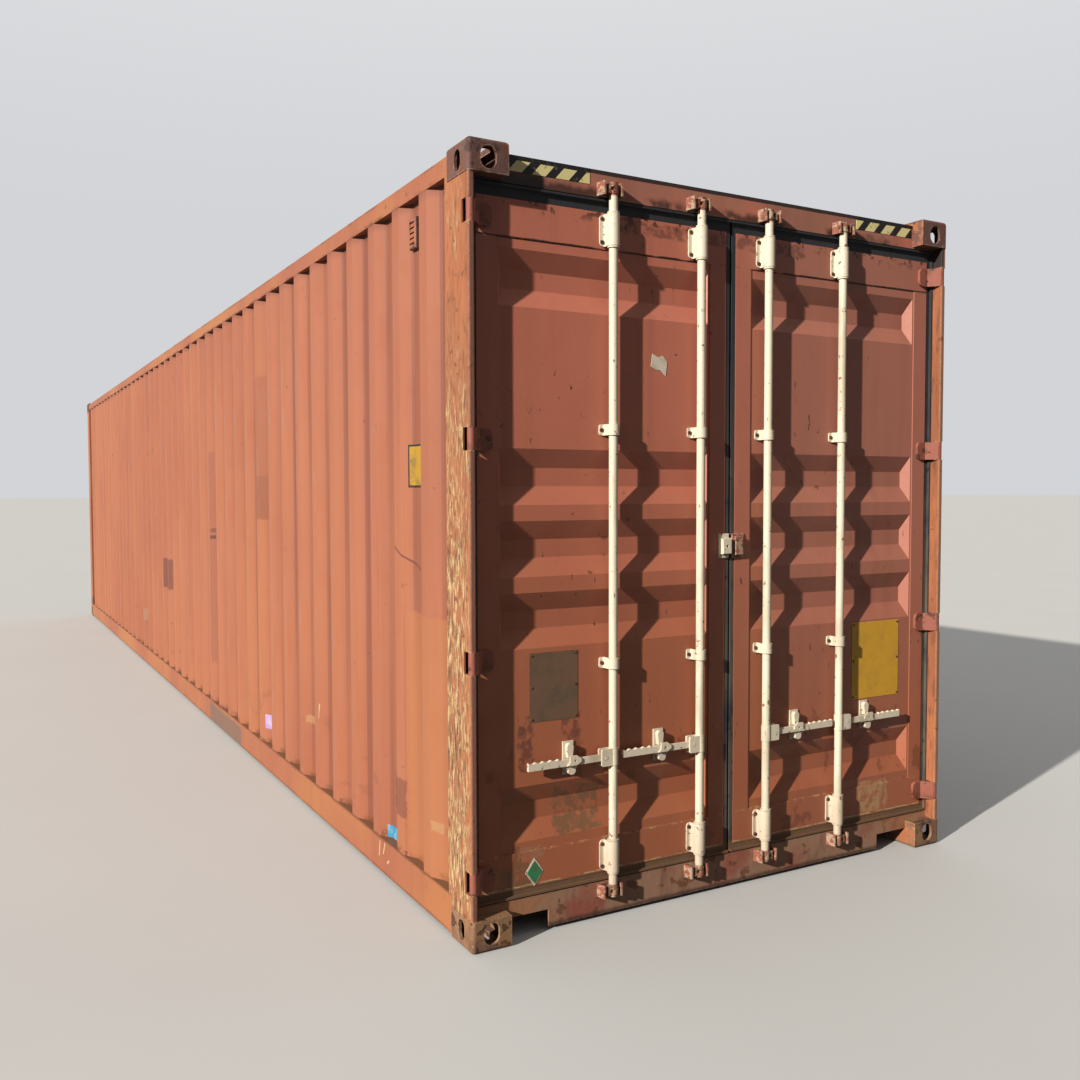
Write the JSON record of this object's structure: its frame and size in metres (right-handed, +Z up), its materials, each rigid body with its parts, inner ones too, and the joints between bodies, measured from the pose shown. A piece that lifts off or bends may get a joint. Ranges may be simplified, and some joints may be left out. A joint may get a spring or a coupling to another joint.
{
  "type": "shipping container",
  "caption": "Long steel high-cube shipping container with corrugated walls, corner castings and double end doors locked by vertical rods with swing handles.",
  "frame": {"origin": "on the ground under the middle of the container", "axes": "+X along the length towards the doors, +Y to the right for someone facing the doors' outside, +Z up"},
  "size_m": [12.192, 2.438, 2.896],
  "materials": {
    "container_paint": "weathered matt",
    "door_paint": "weathered matt",
    "bare_hardware": "worn, rusty",
    "casting_steel": "worn, rusty",
    "gasket_rubber": "dusty",
    "floor_wood": "worn",
    "vent_plastic": "weathered",
    "underframe_paint": "matt coating"
  },
  "bodies": {
    "container": {"corner_castings_top": "casting_steel", "corner_castings_bottom": "casting_steel", "door_post_left": "container_paint", "door_post_right": "container_paint", "front_post_left": "container_paint", "front_post_right": "container_paint", "top_side_rail_left": "container_paint", "top_side_rail_right": "container_paint", "bottom_side_rail_left": "container_paint", "bottom_side_rail_right": "container_paint", "side_wall_left": "container_paint", "side_wall_right": "container_paint", "front_wall": "container_paint", "front_top_rail": "container_paint", "front_bottom_rail": "container_paint", "roof_panel": "container_paint", "door_header": "door_paint", "door_sill": "door_paint", "floor_boards": "floor_wood", "cross_members": "underframe_paint", "gooseneck_tunnel": "underframe_paint", "cam_keepers": "bare_hardware", "side_vents": "vent_plastic"},
    "left_door": {"left_door_frame": "door_paint", "left_door_panel": "door_paint", "left_door_gasket": "gasket_rubber", "left_door_hinges": "door_paint", "left_door_rod_straps": "bare_hardware", "left_door_handle_rests": "bare_hardware", "left_door_lock_block": "bare_hardware"},
    "left_inner_rod_body": {"left_inner_rod": "bare_hardware"},
    "left_inner_handle_body": {"left_inner_handle": "bare_hardware"},
    "left_outer_rod_body": {"left_outer_rod": "bare_hardware"},
    "left_outer_handle_body": {"left_outer_handle": "bare_hardware"},
    "right_door": {"right_door_frame": "door_paint", "right_door_panel": "door_paint", "right_door_gasket": "gasket_rubber", "right_door_hinges": "door_paint", "right_door_rod_straps": "bare_hardware", "right_door_handle_rests": "bare_hardware", "right_door_lock_bracket": "bare_hardware"},
    "right_inner_rod_body": {"right_inner_rod": "bare_hardware"},
    "right_inner_handle_body": {"right_inner_handle": "bare_hardware"},
    "right_outer_rod_body": {"right_outer_rod": "bare_hardware"},
    "right_outer_handle_body": {"right_outer_handle": "bare_hardware"}
  },
  "joints": [
    {"name": "left_door_swing", "type": "hinge", "parent": "container", "child": "left_door", "pos_m": [6.076, -1.201, 1.4495], "axis": [0, 0, -1], "range_deg": [0, 265]},
    {"name": "right_door_swing", "type": "hinge", "parent": "container", "child": "right_door", "pos_m": [6.076, 1.201, 1.4495], "axis": [0, 0, 1], "range_deg": [0, 265]},
    {"name": "left_inner_rod_turn", "type": "hinge", "parent": "left_door", "child": "left_inner_rod_body", "pos_m": [6.064, -0.176, 1.45], "axis": [0, 0, -1], "range_deg": [-100, 0]},
    {"name": "left_inner_handle_lift", "type": "hinge", "parent": "left_inner_rod_body", "child": "left_inner_handle_body", "pos_m": [6.064, -0.216, 0.64], "axis": [-1, 0, 0], "range_deg": [0, 18]},
    {"name": "left_outer_rod_turn", "type": "hinge", "parent": "left_door", "child": "left_outer_rod_body", "pos_m": [6.064, -0.596, 1.45], "axis": [0, 0, -1], "range_deg": [-100, 0]},
    {"name": "left_outer_handle_lift", "type": "hinge", "parent": "left_outer_rod_body", "child": "left_outer_handle_body", "pos_m": [6.064, -0.636, 0.64], "axis": [-1, 0, 0], "range_deg": [0, 18]},
    {"name": "right_inner_rod_turn", "type": "hinge", "parent": "right_door", "child": "right_inner_rod_body", "pos_m": [6.064, 0.176, 1.45], "axis": [0, 0, 1], "range_deg": [-100, 0]},
    {"name": "right_inner_handle_lift", "type": "hinge", "parent": "right_inner_rod_body", "child": "right_inner_handle_body", "pos_m": [6.064, 0.216, 0.64], "axis": [1, 0, 0], "range_deg": [0, 18]},
    {"name": "right_outer_rod_turn", "type": "hinge", "parent": "right_door", "child": "right_outer_rod_body", "pos_m": [6.064, 0.596, 1.45], "axis": [0, 0, 1], "range_deg": [-100, 0]},
    {"name": "right_outer_handle_lift", "type": "hinge", "parent": "right_outer_rod_body", "child": "right_outer_handle_body", "pos_m": [6.064, 0.636, 0.64], "axis": [1, 0, 0], "range_deg": [0, 18]}
  ]
}
